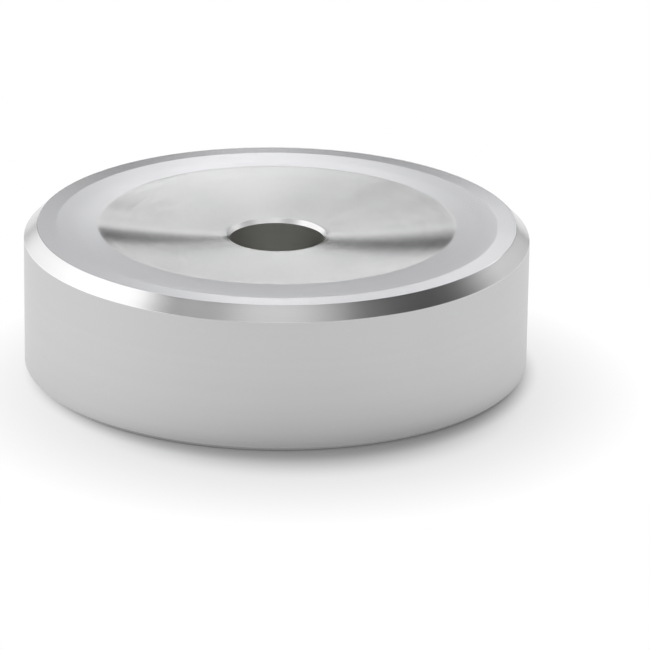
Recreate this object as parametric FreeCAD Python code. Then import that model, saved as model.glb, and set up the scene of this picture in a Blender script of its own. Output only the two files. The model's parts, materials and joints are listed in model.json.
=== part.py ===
# Adapter that fills the large centre hole of a 45 rpm record and carries it true on a turntable's spindle.
# It is one piece, turned from bar. Millimetres, +Z up along the bore, origin at the middle of the foot.

import FreeCAD
import Part

import math
import os

# The record and the spindle that it fits
record_hole_diameter = 38.2
record_clearance = 0.1  # radial
spindle_diameter = 7.1
spindle_clearance = 0.025  # radial

# Outer form
height = 10.9
top_chamfer = 1.0
foot_chamfer = 0.25

# Top face: two lands meet in a faint ridge, and a shallow dish runs from the inner land down to the bore
ridge_diameter = 33.2
outer_land_slope = 1.0  # degrees, falling outwards
inner_land_slope = 1.0  # degrees, falling inwards
rim_diameter = 26.8  # where the inner land and the dish would meet in a sharp corner
rim_round = 1.5  # radius that softens that corner
dish_depth = 0.95  # from the ridge down to the lip of the bore

# Leads at both mouths of the bore
lead_width = 0.2
lead_depth = 0.35

outer_radius = record_hole_diameter / 2 - record_clearance
bore_radius = spindle_diameter / 2 + spindle_clearance
lip_radius = bore_radius + lead_width
lip_z = height - dish_depth


def point(radius, z):
    """A point of the turned section, which lies in the XZ plane."""
    return FreeCAD.Vector(radius, 0, z)


def line(start, end):
    return Part.LineSegment(start, end).toShape()


def arc(start, middle, end):
    return Part.Arc(start, middle, end).toShape()


def dish_edges(ridge):
    """Section from the ridge down the inner land, over the rounded rim and down the hollow dish to the lip."""
    slope = math.radians(inner_land_slope)
    up_the_land = FreeCAD.Vector(math.cos(slope), 0, math.sin(slope))
    into_metal = FreeCAD.Vector(math.sin(slope), 0, -math.cos(slope))
    rim_radius = rim_diameter / 2
    rim = point(rim_radius, ridge.z - (ridge.x - rim_radius) * math.tan(slope))
    lip = point(lip_radius, lip_z)

    # The dish is part of a sphere centred on the axis, through the sharp rim and the lip
    centre_z = (rim.x**2 - lip.x**2 + rim.z**2 - lip.z**2) / (2 * (rim.z - lip.z))
    dish_centre = point(0, centre_z)
    dish_radius = (lip - dish_centre).Length

    # The round touches the land from below and the sphere from outside
    span = dish_radius + rim_round
    offset = rim + into_metal * rim_round - dish_centre
    along = offset.dot(up_the_land)
    shift = math.sqrt(along**2 - offset.dot(offset) + span**2) - along
    round_centre = rim + into_metal * rim_round + up_the_land * shift
    land_end = round_centre - into_metal * rim_round
    dish_start = dish_centre + (round_centre - dish_centre) * (dish_radius / span)
    outwards = (land_end + dish_start) / 2 - round_centre
    round_middle = round_centre + outwards.normalize() * rim_round

    middle_radius = (dish_start.x + lip.x) / 2
    dish_middle = point(middle_radius, centre_z - math.sqrt(dish_radius**2 - middle_radius**2))
    return [
        line(ridge, land_end),
        arc(land_end, round_middle, dish_start),
        arc(dish_start, dish_middle, lip),
    ]


def section():
    """Closed outline of the wall between the bore and the outer diameter."""
    ridge = point(ridge_diameter / 2, height)
    land_radius = outer_radius - top_chamfer
    land_fall = (land_radius - ridge.x) * math.tan(math.radians(outer_land_slope))
    chamfer_top = point(land_radius, height - land_fall)
    outside = [
        point(bore_radius, lead_depth),
        point(lip_radius, 0),
        point(outer_radius - foot_chamfer, 0),
        point(outer_radius, foot_chamfer),
        point(outer_radius, height - top_chamfer),
        chamfer_top,
        ridge,
    ]
    bore = [
        point(lip_radius, lip_z),
        point(bore_radius, lip_z - lead_depth),
        point(bore_radius, lead_depth),
    ]
    outside_edges = [line(start, end) for start, end in zip(outside, outside[1:])]
    bore_edges = [line(start, end) for start, end in zip(bore, bore[1:])]
    return Part.Wire(outside_edges + dish_edges(ridge) + bore_edges)


def adapter_body():
    return Part.Face(section()).revolve(FreeCAD.Vector(0, 0, 0), FreeCAD.Vector(0, 0, 1), 360)


os.makedirs("parts", exist_ok=True)
adapter_body().exportStep("parts/adapter_body.step")
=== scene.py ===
import json
import math
from typing import NamedTuple

import bmesh
import bpy
from mathutils import Matrix, Vector


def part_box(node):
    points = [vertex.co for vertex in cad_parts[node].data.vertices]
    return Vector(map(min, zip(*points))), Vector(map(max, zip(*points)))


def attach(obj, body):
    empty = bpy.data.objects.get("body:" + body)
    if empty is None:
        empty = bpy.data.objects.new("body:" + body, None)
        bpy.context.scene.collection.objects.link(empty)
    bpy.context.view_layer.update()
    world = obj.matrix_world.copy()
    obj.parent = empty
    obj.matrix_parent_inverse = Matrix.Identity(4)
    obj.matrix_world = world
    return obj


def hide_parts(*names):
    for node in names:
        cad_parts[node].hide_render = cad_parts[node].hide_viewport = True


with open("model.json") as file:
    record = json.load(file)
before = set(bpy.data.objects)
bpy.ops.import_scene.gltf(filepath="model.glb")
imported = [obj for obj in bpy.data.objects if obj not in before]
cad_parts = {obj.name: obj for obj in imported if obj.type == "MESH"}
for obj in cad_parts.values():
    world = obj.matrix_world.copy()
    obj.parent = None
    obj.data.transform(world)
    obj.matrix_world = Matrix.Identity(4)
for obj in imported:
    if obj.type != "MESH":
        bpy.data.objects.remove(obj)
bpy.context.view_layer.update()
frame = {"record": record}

MM = 0.001
MICRON = 0.001 * MM

# The turned form. The frame gives the overall sizes and the bore, and the rest are the section's own
_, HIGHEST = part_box("adapter_body")
MOUNTS = {mount["name"]: mount for mount in frame["record"]["mounts"]}
OUTER_RADIUS = HIGHEST.x
HEIGHT = HIGHEST.z
BORE_RADIUS = MOUNTS["spindle_bore"]["dims"]["r_mm"] * MM
TOP_CHAMFER = 1.0 * MM
FOOT_CHAMFER = 0.25 * MM
RIDGE_RADIUS = 16.6 * MM
LAND_SLOPE = math.radians(1.0)
RIM_RADIUS = 13.4 * MM
RIM_ROUND = 1.5 * MM
DISH_DEPTH = 0.95 * MM
LEAD_WIDTH = 0.2 * MM
LEAD_DEPTH = 0.35 * MM
LIP_RADIUS = BORE_RADIUS + LEAD_WIDTH
LAND_RADIUS = OUTER_RADIUS - TOP_CHAMFER

# Fineness of the mesh
TURN_STEPS = 360
DISH_STEPS = 24
ROUND_STEPS = 4
EDGE_STEPS = 3
FLOOR_STEPS = 96
MERGE_DISTANCE = 1e-7
SAME_PLACE = 1e-6

# The corners are broken, and a row of vertices near each of them keeps the flats shaded flat
EDGE_BREAK = 0.02 * MM
GUARD = 0.04 * MM

# Photographed view, 650 by 650 pixels
LENS = 273.5
SENSOR_WIDTH = 36
CLIP_START = 0.01
CLIP_END = 20
CAMERA_PLACE = Vector((0, -350.42, 132.96)) * MM
CAMERA_AIM = Vector((3.71, 0, 2.72)) * MM
CAMERA_ROLL = math.radians(0.80)


def point(radius, height):
    """A point of the turned section, which lies in the XZ plane."""
    return Vector((radius, 0, height))


# Corners of the section, from the bore's foot outwards, up the wall and back down the bore
BORE_FOOT = point(BORE_RADIUS, LEAD_DEPTH)
FOOT_INSIDE = point(LIP_RADIUS, 0)
FOOT_OUTSIDE = point(OUTER_RADIUS - FOOT_CHAMFER, 0)
FOOT_EDGE = point(OUTER_RADIUS, FOOT_CHAMFER)
CHAMFER_FOOT = point(OUTER_RADIUS, HEIGHT - TOP_CHAMFER)
CHAMFER_TOP = point(LAND_RADIUS, HEIGHT - (LAND_RADIUS - RIDGE_RADIUS) * math.tan(LAND_SLOPE))
RIDGE = point(RIDGE_RADIUS, HEIGHT)
LIP = point(LIP_RADIUS, HEIGHT - DISH_DEPTH)
BORE_MOUTH = point(BORE_RADIUS, LIP.z - LEAD_DEPTH)
UP_TO_RIDGE = [FOOT_INSIDE, FOOT_OUTSIDE, FOOT_EDGE, CHAMFER_FOOT, CHAMFER_TOP, RIDGE]
DOWN_THE_BORE = [BORE_MOUTH, BORE_FOOT]
CORNERS = UP_TO_RIDGE + [LIP] + DOWN_THE_BORE


def dish_curve():
    """The rim's round and the dish: the round's centre, the round's two ends and the dish's centre."""
    up_the_land = Vector((math.cos(LAND_SLOPE), 0, math.sin(LAND_SLOPE)))
    into_metal = Vector((math.sin(LAND_SLOPE), 0, -math.cos(LAND_SLOPE)))
    rim = point(RIM_RADIUS, RIDGE.z - (RIDGE.x - RIM_RADIUS) * math.tan(LAND_SLOPE))
    centre_z = (rim.x**2 - LIP.x**2 + rim.z**2 - LIP.z**2) / (2 * (rim.z - LIP.z))
    dish_centre = point(0, centre_z)
    dish_radius = (LIP - dish_centre).length
    span = dish_radius + RIM_ROUND
    offset = rim + into_metal * RIM_ROUND - dish_centre
    along = offset.dot(up_the_land)
    shift = math.sqrt(along**2 - offset.dot(offset) + span**2) - along
    round_centre = rim + into_metal * RIM_ROUND + up_the_land * shift
    land_end = round_centre - into_metal * RIM_ROUND
    dish_start = dish_centre + (round_centre - dish_centre) * (dish_radius / span)
    return round_centre, land_end, dish_start, dish_centre


ROUND_CENTRE, LAND_END, DISH_START, DISH_CENTRE = dish_curve()


def swept(bm, start, centre, end, steps):
    """Spins one vertex about a centre in the section's plane, and gives the arc's last vertex."""
    angle = (start.co - centre).angle(end - centre)
    axis = (start.co - centre).cross(end - centre).normalized()
    arc = bmesh.ops.spin(bm, geom=[start], cent=centre, axis=axis, angle=angle, steps=steps)
    return arc["geom_last"][0]


def straight(bm, start, end, guard_end=True):
    """Joins a vertex to a new one by way of the guard vertices, and gives the new one."""
    run = end - start.co
    stops = [GUARD]
    if guard_end:
        stops.append(run.length - GUARD)
    places = [start.co + run.normalized() * stop for stop in stops]
    for place in places + [end]:
        new = bm.verts.new(place)
        bm.edges.new((start, new))
        start = new
    return start


def at_corner(edge):
    """True for an edge that runs round the axis on one of the section's corners."""
    ends = [point(vertex.co.xy.length, vertex.co.z) for vertex in edge.verts]
    return any(all((end - corner).length < SAME_PLACE for end in ends) for corner in CORNERS)


def turned_body():
    """The whole adapter: its section is drawn, spun about the axis, and the corners are broken."""
    bm = bmesh.new()
    last = bm.verts.new(BORE_FOOT)
    for corner in UP_TO_RIDGE:
        last = straight(bm, last, corner)
    last = straight(bm, last, LAND_END, guard_end=False)
    last = swept(bm, last, ROUND_CENTRE, DISH_START, ROUND_STEPS)
    last = swept(bm, last, DISH_CENTRE, LIP, DISH_STEPS)
    for corner in DOWN_THE_BORE:
        last = straight(bm, last, corner)
    bmesh.ops.remove_doubles(bm, verts=bm.verts, dist=MERGE_DISTANCE)
    bmesh.ops.spin(
        bm, geom=bm.verts[:] + bm.edges[:], cent=(0, 0, 0), axis=(0, 0, 1), angle=2 * math.pi,
        steps=TURN_STEPS, use_merge=True,
    )
    bmesh.ops.remove_doubles(bm, verts=bm.verts, dist=MERGE_DISTANCE)
    bmesh.ops.recalc_face_normals(bm, faces=bm.faces)
    broken = [edge for edge in bm.edges if at_corner(edge)]
    bmesh.ops.bevel(
        bm, geom=broken, offset=EDGE_BREAK, offset_type="OFFSET", segments=EDGE_STEPS, profile=0.5,
        affect="EDGES", material=-1,
    )
    mesh = bpy.data.meshes.new("turned_adapter")
    bm.to_mesh(mesh)
    bm.free()
    mesh.shade_smooth()
    body = bpy.data.objects.new("turned_adapter", mesh)
    bpy.context.scene.collection.objects.link(body)
    return body


def camera():
    data = bpy.data.cameras.new("camera")
    data.lens = LENS
    data.sensor_width = SENSOR_WIDTH
    data.clip_start = CLIP_START
    data.clip_end = CLIP_END
    view = bpy.data.objects.new("camera", data)
    turn = (CAMERA_AIM - CAMERA_PLACE).to_track_quat("-Z", "Y").to_matrix().to_4x4()
    roll = Matrix.Rotation(CAMERA_ROLL, 4, "Z")
    view.matrix_world = Matrix.Translation(CAMERA_PLACE) @ turn @ roll
    bpy.context.scene.collection.objects.link(view)
    bpy.context.scene.camera = view


def add_node(tree, kind, inputs=None, **settings):
    """Adds a shader node, sets its properties, and gives its inputs their values or links."""
    node = tree.nodes.new("ShaderNode" + kind)
    for name, value in settings.items():
        setattr(node, name, value)
    for name, value in (inputs or {}).items():
        if isinstance(value, bpy.types.NodeSocket):
            tree.links.new(value, node.inputs[name])
        else:
            node.inputs[name].default_value = value
    return node


def math_of(tree, operation, *values, clamp=False):
    values = dict(enumerate(values))
    return add_node(tree, "Math", values, operation=operation, use_clamp=clamp).outputs[0]


def vector_of(tree, operation, *values):
    values = dict(enumerate(values))
    return add_node(tree, "VectorMath", values, operation=operation).outputs[0]


def scaled(tree, vector, scale):
    """A vector or a colour times a number."""
    values = {0: vector, "Scale": scale}
    return add_node(tree, "VectorMath", values, operation="SCALE").outputs[0]


def length_of(tree, across, up):
    """Length of the diagonal over two distances."""
    across = math_of(tree, "POWER", across, 2.0)
    up = math_of(tree, "POWER", up, 2.0)
    return math_of(tree, "SQRT", math_of(tree, "ADD", across, up))


def ramp(tree, value, low, high, bottom=0.0, top=1.0):
    """Smooth step from bottom to top while the value goes from low to high."""
    values = {"Value": value, "From Min": low, "From Max": high, "To Min": bottom, "To Max": top}
    return add_node(tree, "MapRange", values, interpolation_type="SMOOTHSTEP").outputs["Result"]


def noise_at(tree, position, scale, detail):
    """Noise in space, from 0 to 1."""
    values = {"Vector": position, "Scale": scale, "Detail": detail}
    return add_node(tree, "TexNoise", values, noise_dimensions="3D").outputs["Fac"]


def noise_along(tree, distance, scale, detail):
    """Noise along a line, from 0 to 1."""
    values = {"W": distance, "Scale": scale, "Detail": detail}
    return add_node(tree, "TexNoise", values, noise_dimensions="1D").outputs["Fac"]


def centred(tree, noise):
    """The noise from -0.5 to 0.5."""
    return math_of(tree, "SUBTRACT", noise, 0.5)


VECTOR_SOCKETS = ("Position", "Direction", "Normal")


def new_group(name, inputs, outputs):
    """A node group with named inputs and outputs, which are numbers apart from the vector sockets."""
    tree = bpy.data.node_groups.new(name, "ShaderNodeTree")
    for in_out, labels in (("INPUT", inputs), ("OUTPUT", outputs)):
        for label in labels:
            kind = "NodeSocketVector" if label in VECTOR_SOCKETS else "NodeSocketFloat"
            tree.interface.new_socket(label, in_out=in_out, socket_type=kind)
    given = tree.nodes.new("NodeGroupInput").outputs
    out = tree.nodes.new("NodeGroupOutput").inputs
    return tree, given, out


def use_group(tree, group, values):
    """Places a node group, fills its inputs and gives its outputs."""
    return add_node(tree, "Group", values, node_tree=group).outputs


def surface_place():
    """Node group: radius and height of a place on the turned surface, in millimetres."""
    tree, given, out = new_group("surface_place", ["Position"], ["Radius", "Height"])
    parts = add_node(tree, "SeparateXYZ", {0: given["Position"]}).outputs
    radius = length_of(tree, parts["X"], parts["Y"])
    tree.links.new(math_of(tree, "MULTIPLY", radius, 1 / MM), out["Radius"])
    tree.links.new(math_of(tree, "MULTIPLY", parts["Z"], 1 / MM), out["Height"])
    return tree


# Detail of the grooves' noise, and how many bands there are to a groove
GROOVE_DETAIL = 3.0
BANDS_PER_GROOVE = 0.14


def turning_marks():
    """Node group: the tool's fine grooves and broader bands, along a coordinate across its path."""
    tree, given, out = new_group("turning_marks", ["Across", "Spacing"], ["Grooves", "Bands"])
    turns = math_of(tree, "DIVIDE", given["Across"], given["Spacing"])
    tree.links.new(noise_along(tree, turns, 1.0, GROOVE_DETAIL), out["Grooves"])
    tree.links.new(noise_along(tree, turns, BANDS_PER_GROOVE, 1.0), out["Bands"])
    return tree


def groove_tilt():
    """Node group: leans the normal along the radius by the flanks of grooves too fine to be drawn."""
    inputs = ["Position", "Normal", "Across", "Spacing", "Tilt"]
    tree, given, out = new_group("groove_tilt", inputs, ["Normal"])
    outwards = vector_of(tree, "NORMALIZE", vector_of(tree, "MULTIPLY", given["Position"], (1, 1, 0)))
    turns = math_of(tree, "DIVIDE", given["Across"], given["Spacing"])
    flanks = centred(tree, noise_along(tree, turns, 1.0, 0.0))
    lean = scaled(tree, outwards, math_of(tree, "MULTIPLY", flanks, given["Tilt"]))
    leaned = vector_of(tree, "ADD", given["Normal"], lean)
    tree.links.new(vector_of(tree, "NORMALIZE", leaned), out["Normal"])
    return tree


# Levels of the noise between which a fleck comes up
FLECK_LEVELS = (0.66, 0.8)


def handling_marks():
    """Node group: soft patches from cleaning and handling, and sparse bright flecks."""
    inputs = ["Position", "Patch Size", "Fleck Size"]
    tree, given, out = new_group("handling_marks", inputs, ["Patches", "Flecks"])
    patch_scale = math_of(tree, "DIVIDE", 1 / MM, given["Patch Size"])
    fleck_scale = math_of(tree, "DIVIDE", 1 / MM, given["Fleck Size"])
    flecks = noise_at(tree, given["Position"], fleck_scale, 1.0)
    tree.links.new(noise_at(tree, given["Position"], patch_scale, 3.0), out["Patches"])
    tree.links.new(ramp(tree, flecks, *FLECK_LEVELS), out["Flecks"])
    return tree


# Pieces of hairline to a scratch's reach, and levels of the noise between which a piece comes up
SCRATCH_PIECES = 3.0
SCRATCH_LEVELS = (0.58, 0.72)


def hair_scratches():
    """Node group: sparse curved hairlines, which are short pieces of the level lines of a soft noise."""
    tree, given, out = new_group("hair_scratches", ["Position", "Reach", "Width"], ["Scratches"])
    scale = math_of(tree, "DIVIDE", 1 / MM, given["Reach"])
    field = noise_at(tree, given["Position"], scale, 1.0)
    away = math_of(tree, "ABSOLUTE", centred(tree, field))
    hairline = ramp(tree, math_of(tree, "DIVIDE", away, given["Width"]), 0.0, 1.0, 1.0, 0.0)
    piece_scale = math_of(tree, "MULTIPLY", scale, SCRATCH_PIECES)
    pieces = ramp(tree, noise_at(tree, given["Position"], piece_scale, 0.0), *SCRATCH_LEVELS)
    tree.links.new(math_of(tree, "MULTIPLY", hairline, pieces), out["Scratches"])
    return tree


# Share of the worn width that is worn all through
WEAR_CORE = 0.2


def edge_wear():
    """Node group: 1 on a corner that runs round the axis, falling to 0 across a ragged width."""
    inputs = ["Radius", "Height", "Corner Radius", "Corner Height", "Width", "Patches"]
    tree, given, out = new_group("edge_wear", inputs, ["Mask"])
    outwards = math_of(tree, "SUBTRACT", given["Radius"], given["Corner Radius"])
    upwards = math_of(tree, "SUBTRACT", given["Height"], given["Corner Height"])
    unevenness = math_of(tree, "ADD", given["Patches"], 0.5)
    ragged = math_of(tree, "MULTIPLY", given["Width"], unevenness)
    share = math_of(tree, "DIVIDE", length_of(tree, outwards, upwards), ragged)
    tree.links.new(ramp(tree, share, WEAR_CORE, 1.0, 1.0, 0.0), out["Mask"])
    return tree


EFFECTS = {
    "place": surface_place(),
    "marks": turning_marks(),
    "tilt": groove_tilt(),
    "handling": handling_marks(),
    "scratches": hair_scratches(),
    "wear": edge_wear(),
}


class Finish(NamedTuple):
    """Finish of a stretch of the turned surface.

    The marks run round the axis, spaced along the radius or the height. Their spacing is in millimetres,
    and the depths of the marks and the grain are in micrometres.
    """

    colour: tuple
    roughness: float
    patchiness: float
    marks_along: str
    marks_spacing: float
    marks_depth: float
    marks_shade: float
    grain_depth: float
    flecks: float = 0.0
    scratches: float = 0.0
    corners: tuple = ()
    anisotropic: float = 0.0
    groove_lean: float = 0.0


# Sizes in millimetres that the finishes have in common
GROOVE_SPACING = 0.005
PATCH_SIZE = 6.0
FLECK_SIZE = 0.25
SCRATCH_REACH = 2.8
WEAR_WIDTH = 0.08

# Other values in common. The scratches' width is a span of their noise, and their depth in micrometres
SCRATCH_WIDTH = 0.01
SCRATCH_DEPTH = 2.0
GRAIN_PER_MM = 5.0
GRAIN_DETAIL = 2.0
WORN_LIFT = 0.05
WORN_POLISH = 0.08
ALONG_THE_GROOVES = 0.25

ALUMINIUM = (0.62, 0.62, 0.622)
COOL_ALUMINIUM = (0.615, 0.617, 0.637)
PALE_ALUMINIUM = (0.615, 0.62, 0.62)
# The bore's aluminium is painted lighter than the rest, as painted light in the shaded bore
BORE_ALUMINIUM_PAINTED_LIGHTER = (0.725, 0.725, 0.70)


def worn_corners(tree, corners, place, patches):
    """How worn a place is, from the nearest of the corners that its finish meets."""
    worn = 0.0
    for corner in corners:
        mask = use_group(tree, EFFECTS["wear"], {
            "Radius": place["Radius"], "Height": place["Height"],
            "Corner Radius": corner.x / MM, "Corner Height": corner.z / MM,
            "Width": WEAR_WIDTH, "Patches": patches,
        })["Mask"]
        worn = math_of(tree, "MAXIMUM", mask, worn)
    return worn


def bare_metal(name, finish):
    """Bare aluminium with its tool marks, satin grain, handling marks and worn corners."""
    material = bpy.data.materials.new(name)
    material.use_nodes = True
    tree = material.node_tree
    shader = tree.nodes["Principled BSDF"]
    shader.inputs["Metallic"].default_value = 1
    position = add_node(tree, "TexCoord").outputs["Object"]
    place = use_group(tree, EFFECTS["place"], {"Position": position})
    marks = use_group(tree, EFFECTS["marks"], {
        "Across": place[finish.marks_along], "Spacing": finish.marks_spacing,
    })
    handling = use_group(tree, EFFECTS["handling"], {
        "Position": position, "Patch Size": PATCH_SIZE, "Fleck Size": FLECK_SIZE,
    })
    scratches = use_group(tree, EFFECTS["scratches"], {
        "Position": position, "Reach": SCRATCH_REACH, "Width": SCRATCH_WIDTH,
    })["Scratches"]
    scratches = math_of(tree, "MULTIPLY", scratches, finish.scratches)
    worn = worn_corners(tree, finish.corners, place, handling["Patches"])

    # Colour: the bands shade it a little, and flecks, scratches and worn corners are brighter
    shade = math_of(tree, "MULTIPLY", centred(tree, marks["Bands"]), finish.marks_shade)
    flecks = math_of(tree, "MULTIPLY", handling["Flecks"], finish.flecks)
    bright = math_of(tree, "MAXIMUM", math_of(tree, "MAXIMUM", flecks, worn), scratches)
    lift = math_of(tree, "MULTIPLY", bright, WORN_LIFT)
    bright = math_of(tree, "ADD", lift, math_of(tree, "ADD", shade, 1.0))
    tree.links.new(scaled(tree, finish.colour, bright), shader.inputs["Base Color"])

    # Roughness: uneven from handling, and smoother where a corner is worn
    uneven = math_of(tree, "MULTIPLY", centred(tree, handling["Patches"]), finish.patchiness)
    rough = math_of(tree, "ADD", finish.roughness, uneven)
    polish = math_of(tree, "MULTIPLY", worn, WORN_POLISH)
    rough = math_of(tree, "SUBTRACT", rough, polish, clamp=True)
    tree.links.new(rough, shader.inputs["Roughness"])

    # Relief: tool grooves round the axis and hairline scratches over a fine satin grain
    grain = noise_at(tree, position, GRAIN_PER_MM / MM, GRAIN_DETAIL)
    grooves = math_of(tree, "MULTIPLY", marks["Grooves"], finish.marks_depth)
    relief = math_of(tree, "ADD", grooves, math_of(tree, "MULTIPLY", grain, finish.grain_depth))
    relief = math_of(tree, "SUBTRACT", relief, math_of(tree, "MULTIPLY", scratches, SCRATCH_DEPTH))
    normal = add_node(tree, "Bump", {"Height": relief, "Strength": 1.0, "Distance": MICRON}).outputs[0]
    if finish.groove_lean:
        normal = use_group(tree, EFFECTS["tilt"], {
            "Position": position, "Normal": normal, "Across": place["Radius"],
            "Spacing": GROOVE_SPACING, "Tilt": finish.groove_lean,
        })["Normal"]
    tree.links.new(normal, shader.inputs["Normal"])
    if finish.anisotropic:
        tangent = add_node(tree, "Tangent", direction_type="RADIAL", axis="Z")
        tree.links.new(tangent.outputs[0], shader.inputs["Tangent"])
        shader.inputs["Anisotropic"].default_value = finish.anisotropic
        shader.inputs["Anisotropic Rotation"].default_value = ALONG_THE_GROOVES
    return material


def satin_wall():
    return bare_metal("satin_wall", Finish(
        colour=ALUMINIUM, roughness=0.45, patchiness=0.06,
        marks_along="Height", marks_spacing=0.12, marks_depth=0.4, marks_shade=0.03,
        grain_depth=2.0, flecks=0.35, scratches=0.5, corners=(CHAMFER_FOOT, FOOT_EDGE),
    ))


def bright_chamfer():
    return bare_metal("bright_chamfer", Finish(
        colour=ALUMINIUM, roughness=0.2, patchiness=0.05,
        marks_along="Radius", marks_spacing=0.1, marks_depth=0.5, marks_shade=0.04,
        grain_depth=0.5, flecks=0.2, scratches=0.3, corners=(CHAMFER_FOOT, CHAMFER_TOP, FOOT_EDGE),
    ))


def satin_land(name):
    return bare_metal(name, Finish(
        colour=COOL_ALUMINIUM, roughness=0.158, patchiness=0.03,
        marks_along="Radius", marks_spacing=0.15, marks_depth=0.15, marks_shade=0.03,
        grain_depth=0.1, flecks=0.1, scratches=0.3, corners=(CHAMFER_TOP,),
    ))


def turned_dish():
    return bare_metal("turned_dish", Finish(
        colour=PALE_ALUMINIUM, roughness=0.149, patchiness=0.02,
        marks_along="Radius", marks_spacing=0.14, marks_depth=2.0, marks_shade=0.04,
        grain_depth=0.3, flecks=0.1, scratches=0.2, corners=(LIP,),
        anisotropic=1.0, groove_lean=0.43,
    ))


def bright_lead():
    return bare_metal("bright_lead", Finish(
        colour=ALUMINIUM, roughness=0.25, patchiness=0.05,
        marks_along="Radius", marks_spacing=0.05, marks_depth=0.2, marks_shade=0.04,
        grain_depth=0.3, corners=(LIP,),
    ))


def reamed_bore_painted_lighter():
    # Reamed finish, with its colour painted lighter as painted light in the shaded bore
    return bare_metal("reamed_bore_painted_lighter", Finish(
        colour=BORE_ALUMINIUM_PAINTED_LIGHTER, roughness=0.32, patchiness=0.06,
        marks_along="Height", marks_spacing=0.1, marks_depth=0.4, marks_shade=0.05,
        grain_depth=0.5,
    ))


def faced_foot():
    return bare_metal("faced_foot", Finish(
        colour=ALUMINIUM, roughness=0.28, patchiness=0.06,
        marks_along="Radius", marks_spacing=0.2, marks_depth=0.8, marks_shade=0.06,
        grain_depth=0.4, flecks=0.3, scratches=0.6, anisotropic=0.9,
    ))


FINISHES = {
    "wall": satin_wall(),
    "chamfer": bright_chamfer(),
    "outer_land": satin_land("satin_outer_land"),
    "inner_land": satin_land("satin_inner_land"),
    "dish": turned_dish(),
    "lead": bright_lead(),
    "bore": reamed_bore_painted_lighter(),
    "foot": faced_foot(),
}

# A face looks sideways, aslant or along the axis by the height of its normal
SIDEWAYS = 0.3
ASLANT = 0.92
WITHIN_DISH = 5 * MM


def finish_of(face):
    """Name of the finish at a face of the turned body, from where it is and which way it looks."""
    place = face.calc_center_median()
    radius = place.xy.length
    up = face.normal.z
    inside = radius < WITHIN_DISH
    if abs(up) < SIDEWAYS:
        return "bore" if inside else "wall"
    if abs(up) < ASLANT:
        return "lead" if inside else "chamfer"
    if up < 0:
        return "foot"
    if radius > RIDGE_RADIUS:
        return "outer_land"
    return "inner_land" if radius > LAND_END.x else "dish"


def dress(body):
    """Gives each face of the body its finish."""
    names = list(FINISHES)
    for material in FINISHES.values():
        body.data.materials.append(material)
    bm = bmesh.new()
    bm.from_mesh(body.data)
    for face in bm.faces:
        face.material_index = names.index(finish_of(face))
    bm.to_mesh(body.data)
    bm.free()


# The floor's shadow is partly painted. The grey floor takes the real shadow from the lamps, and white is
# laid
# over it only outside a painted shadow: a soft pool under the object's front, and a closer pool that
# keeps the floor dark where it meets the foot
FLOOR_RADIUS = 1.5
FLOOR_COLOUR = (0.41, 0.41, 0.415, 1)
WHITE = (1, 1, 1, 1)
PAINTED_SHADOW_CENTRE = Vector((1.25, -6.6, 0)) * MM
PAINTED_SHADOW_RADIUS = 12.3 * MM
NEAR_FADE = (-0.7 * MM, 5.7 * MM)
FAR_FADE = (2.6 * MM, 13.8 * MM)
NEAR_SHARE = 0.65
PAINTED_CONTACT_SHADOW_CENTRE = Vector((0.4, -1.9, 0)) * MM
PAINTED_CONTACT_SHADOW_RADIUS = 16.9 * MM
PAINTED_CONTACT_SHADOW_FADE = 2.7 * MM
# Share of the painted shadow's strength that metal and glass see on the floor
PAINTED_SHADOW_IN_METAL = 0.75


def beyond_painted_shadow(tree, position, centre, radius):
    """Distance of a place on the floor from the border of a round pool of painted shadow, positive
    outside.
    """
    values = {0: position, 1: centre}
    distance = add_node(tree, "VectorMath", values, operation="DISTANCE").outputs["Value"]
    return math_of(tree, "SUBTRACT", distance, radius)


def outside_painted_shadow(tree):
    """0 in the painted shadow on the floor, rising to 1 where the floor is white."""
    position = add_node(tree, "TexCoord").outputs["Object"]
    # Painted shadow: a soft pool under the front, times a painted contact pool at the foot
    beyond_soft_painted_shadow = beyond_painted_shadow(tree, position, PAINTED_SHADOW_CENTRE, PAINTED_SHADOW_RADIUS)
    near = ramp(tree, beyond_soft_painted_shadow, *NEAR_FADE, 0.0, NEAR_SHARE)
    far = add_node(tree, "MapRange", {
        "Value": beyond_soft_painted_shadow, "From Min": FAR_FADE[0], "From Max": FAR_FADE[1], "To Max": 1 - NEAR_SHARE,
    }).outputs["Result"]
    beyond_painted_contact_shadow = beyond_painted_shadow(tree, position, PAINTED_CONTACT_SHADOW_CENTRE, PAINTED_CONTACT_SHADOW_RADIUS)
    contact = ramp(tree, beyond_painted_contact_shadow, 0.0, PAINTED_CONTACT_SHADOW_FADE)
    return math_of(tree, "MULTIPLY", math_of(tree, "ADD", near, far), contact)


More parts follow.
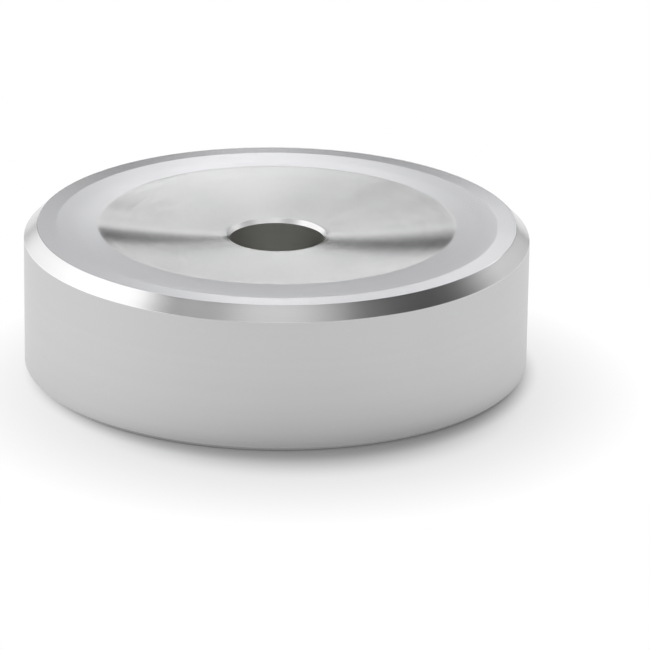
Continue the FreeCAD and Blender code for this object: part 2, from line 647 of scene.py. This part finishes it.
def floor_material():
    """Grey floor that takes the real shadow, with white laid over it outside the painted shadow for the
    camera and for metal and glass.
    """
    material = bpy.data.materials.new("floor")
    material.use_nodes = True
    tree = material.node_tree
    tree.nodes.clear()
    clear = outside_painted_shadow(tree)
    # Metal and glass see the painted shadow weaker than the camera does
    painted_shadow_lifted_in_metal = math_of(tree, "ADD", math_of(tree, "MULTIPLY", clear, PAINTED_SHADOW_IN_METAL), 1 - PAINTED_SHADOW_IN_METAL)
    path = add_node(tree, "LightPath").outputs
    in_metal = math_of(tree, "MAXIMUM", path["Is Glossy Ray"], path["Is Transmission Ray"])
    in_metal = math_of(tree, "MULTIPLY", in_metal, painted_shadow_lifted_in_metal)
    in_camera = math_of(tree, "MULTIPLY", path["Is Camera Ray"], clear)
    white = math_of(tree, "MAXIMUM", in_camera, in_metal)
    grey = add_node(tree, "BsdfDiffuse", {"Color": FLOOR_COLOUR}).outputs[0]
    paper = add_node(tree, "Emission", {"Color": WHITE, "Strength": 1.0}).outputs[0]
    mixed = add_node(tree, "MixShader", {0: white, 1: grey, 2: paper}).outputs[0]
    add_node(tree, "OutputMaterial", {"Surface": mixed})
    return material


def floor():
    bm = bmesh.new()
    bmesh.ops.create_circle(bm, cap_ends=True, radius=FLOOR_RADIUS, segments=FLOOR_STEPS)
    mesh = bpy.data.meshes.new("floor")
    bm.to_mesh(mesh)
    bm.free()
    ground = bpy.data.objects.new("floor", mesh)
    bpy.context.scene.collection.objects.link(ground)
    mesh.materials.append(floor_material())


class Patch(NamedTuple):
    """Soft patch of the studio's sky. Angles are in degrees, and the azimuth goes from +Y towards +X.

    The strength of a black flag is the share of the light that it holds back. The lean is how far the
    patch moves in azimuth for each degree of elevation.
    """

    azimuth: float
    elevation: float
    half_width: float
    half_height: float
    edge: float
    strength: float
    lean: float


ROOM_LIGHT = 0.24
PANELS = {
    "left_window": Patch(-70.5, 44, 52, 31.5, 49.5, 1.45, 0.45),
    "leaning_back_strip": Patch(12.5, 37.5, 15, 10, 8, 2.5, -1.75),
    "back_left_panel": Patch(-4.5, 22, 4.5, 11.5, 2, 3.15, -0.25),
    "back_left_low_panel": Patch(-8, 8.5, 7.5, 10.5, 4.5, 2.8, -0.15),
    "back_right_low_panel": Patch(9.5, 13.5, 6, 8.5, 1, 2.35, 0.1),
    "right_wall": Patch(69, 16.5, 38, 20.5, 18, 0.65, 0.4),
    "back_bar": Patch(11, 18.5, 10.5, 5, 3, 1.6, 1.05),
    "thin_back_strip": Patch(9.5, 22.5, 14, 1, 1, 1.95, 0.85),
    "overhead_panel": Patch(168, 56, 63, 43.5, 42, 0.7, -0.55),
    "horizon_glow": Patch(34.5, 3, 10, 2, 13, 0.4, -0.4),
    "low_left_glow": Patch(-61.5, 6, 37.5, 11, 22, 0.85, 0),
    "panel_above_camera": Patch(180, 46, 70, 9, 8, 0.8, 0),
    "right_window": Patch(105, 25, 14, 12, 8, 1, 3),
}
BLACK_FLAGS = {
    "ceiling_left": Patch(-40, 69, 57.5, 9.5, 7, 0.9, 1.45),
    "ceiling_right": Patch(96.5, 62, 29, 4.5, 6.5, 0.55, 0.45),
    "right_slot": Patch(90, 48, 11.5, 15, 17.5, 0.8, 1.45),
    "left_post": Patch(-21.5, 23.5, 7, 20.5, 4, 1, -1.1),
    "right_post": Patch(10.5, 8, 4, 9.5, 1, 1, -1.05),
    "back_right": Patch(14, 19, 10, 8.5, 1, 0.85, 0),
    "low_back_bar": Patch(-4, 12.5, 2.5, 7, 4, 1, 0.6),
    "back_left": Patch(-9, 22.5, 9, 10.5, 2, 0.8, 0.55),
    "rear_left": Patch(-125, 50.5, 26, 13.5, 13, 0.45, 2),
    "rear_right": Patch(128.5, 60.5, 24, 13.5, 39, 0.5, -0.65),
    "behind_camera": Patch(160, 4.5, 77, 28, 41.5, 0.65, 0.15),
}


def sky_angles():
    """Node group: azimuth and elevation of a direction, in degrees."""
    tree, given, out = new_group("sky_angles", ["Direction"], ["Azimuth", "Elevation"])
    parts = add_node(tree, "SeparateXYZ", {0: given["Direction"]}).outputs
    azimuth = math_of(tree, "ARCTAN2", parts["X"], parts["Y"])
    height = math_of(tree, "MINIMUM", math_of(tree, "MAXIMUM", parts["Z"], -1.0), 1.0)
    elevation = math_of(tree, "ARCSINE", height)
    tree.links.new(math_of(tree, "DEGREES", azimuth), out["Azimuth"])
    tree.links.new(math_of(tree, "DEGREES", elevation), out["Elevation"])
    return tree


def soft_patch():
    """Node group: 1 within a patch of the sky, falling smoothly to 0 across its edge."""
    inputs = [
        "Azimuth", "Elevation", "Centre Azimuth", "Centre Elevation",
        "Half Width", "Half Height", "Edge", "Lean",
    ]
    tree, given, out = new_group("soft_patch", inputs, ["Mask"])
    up = math_of(tree, "SUBTRACT", given["Elevation"], given["Centre Elevation"])
    across = math_of(tree, "SUBTRACT", given["Azimuth"], given["Centre Azimuth"])
    across = math_of(tree, "SUBTRACT", across, math_of(tree, "MULTIPLY", given["Lean"], up))
    across = math_of(tree, "ABSOLUTE", math_of(tree, "WRAP", across, 180.0, -180.0))
    up = math_of(tree, "ABSOLUTE", up)
    half_edge = math_of(tree, "MULTIPLY", given["Edge"], 0.5)
    masks = []
    for distance, half in ((across, "Half Width"), (up, "Half Height")):
        inside = math_of(tree, "SUBTRACT", math_of(tree, "ADD", given[half], half_edge), distance)
        masks.append(ramp(tree, math_of(tree, "DIVIDE", inside, given["Edge"]), 0.0, 1.0))
    tree.links.new(math_of(tree, "MULTIPLY", *masks), out["Mask"])
    return tree


def studio():
    """World light: the room's level and the panels, less what the black flags hold back."""
    world = bpy.data.worlds.new("studio")
    bpy.context.scene.world = world
    world.use_nodes = True
    tree = world.node_tree
    direction = add_node(tree, "TexCoord").outputs["Generated"]
    angles = use_group(tree, sky_angles(), {"Direction": direction})
    patch_group = soft_patch()

    def in_patch(patch):
        """The patch's strength where a direction is in the patch, and 0 outside."""
        mask = use_group(tree, patch_group, {
            "Azimuth": angles["Azimuth"], "Elevation": angles["Elevation"],
            "Centre Azimuth": patch.azimuth, "Centre Elevation": patch.elevation,
            "Half Width": patch.half_width, "Half Height": patch.half_height,
            "Edge": patch.edge, "Lean": patch.lean,
        })["Mask"]
        return math_of(tree, "MULTIPLY", mask, patch.strength)

    light = ROOM_LIGHT
    for panel in PANELS.values():
        light = math_of(tree, "ADD", in_patch(panel), light)
    for flag in BLACK_FLAGS.values():
        passed = math_of(tree, "SUBTRACT", 1.0, in_patch(flag))
        light = math_of(tree, "MULTIPLY", light, passed)
    tree.links.new(light, tree.nodes["Background"].inputs["Color"])


camera()
adapter = turned_body()
dress(adapter)
floor()
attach(adapter, "root")
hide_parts("adapter_body")

studio()
bpy.context.scene.view_settings.view_transform = "Standard"
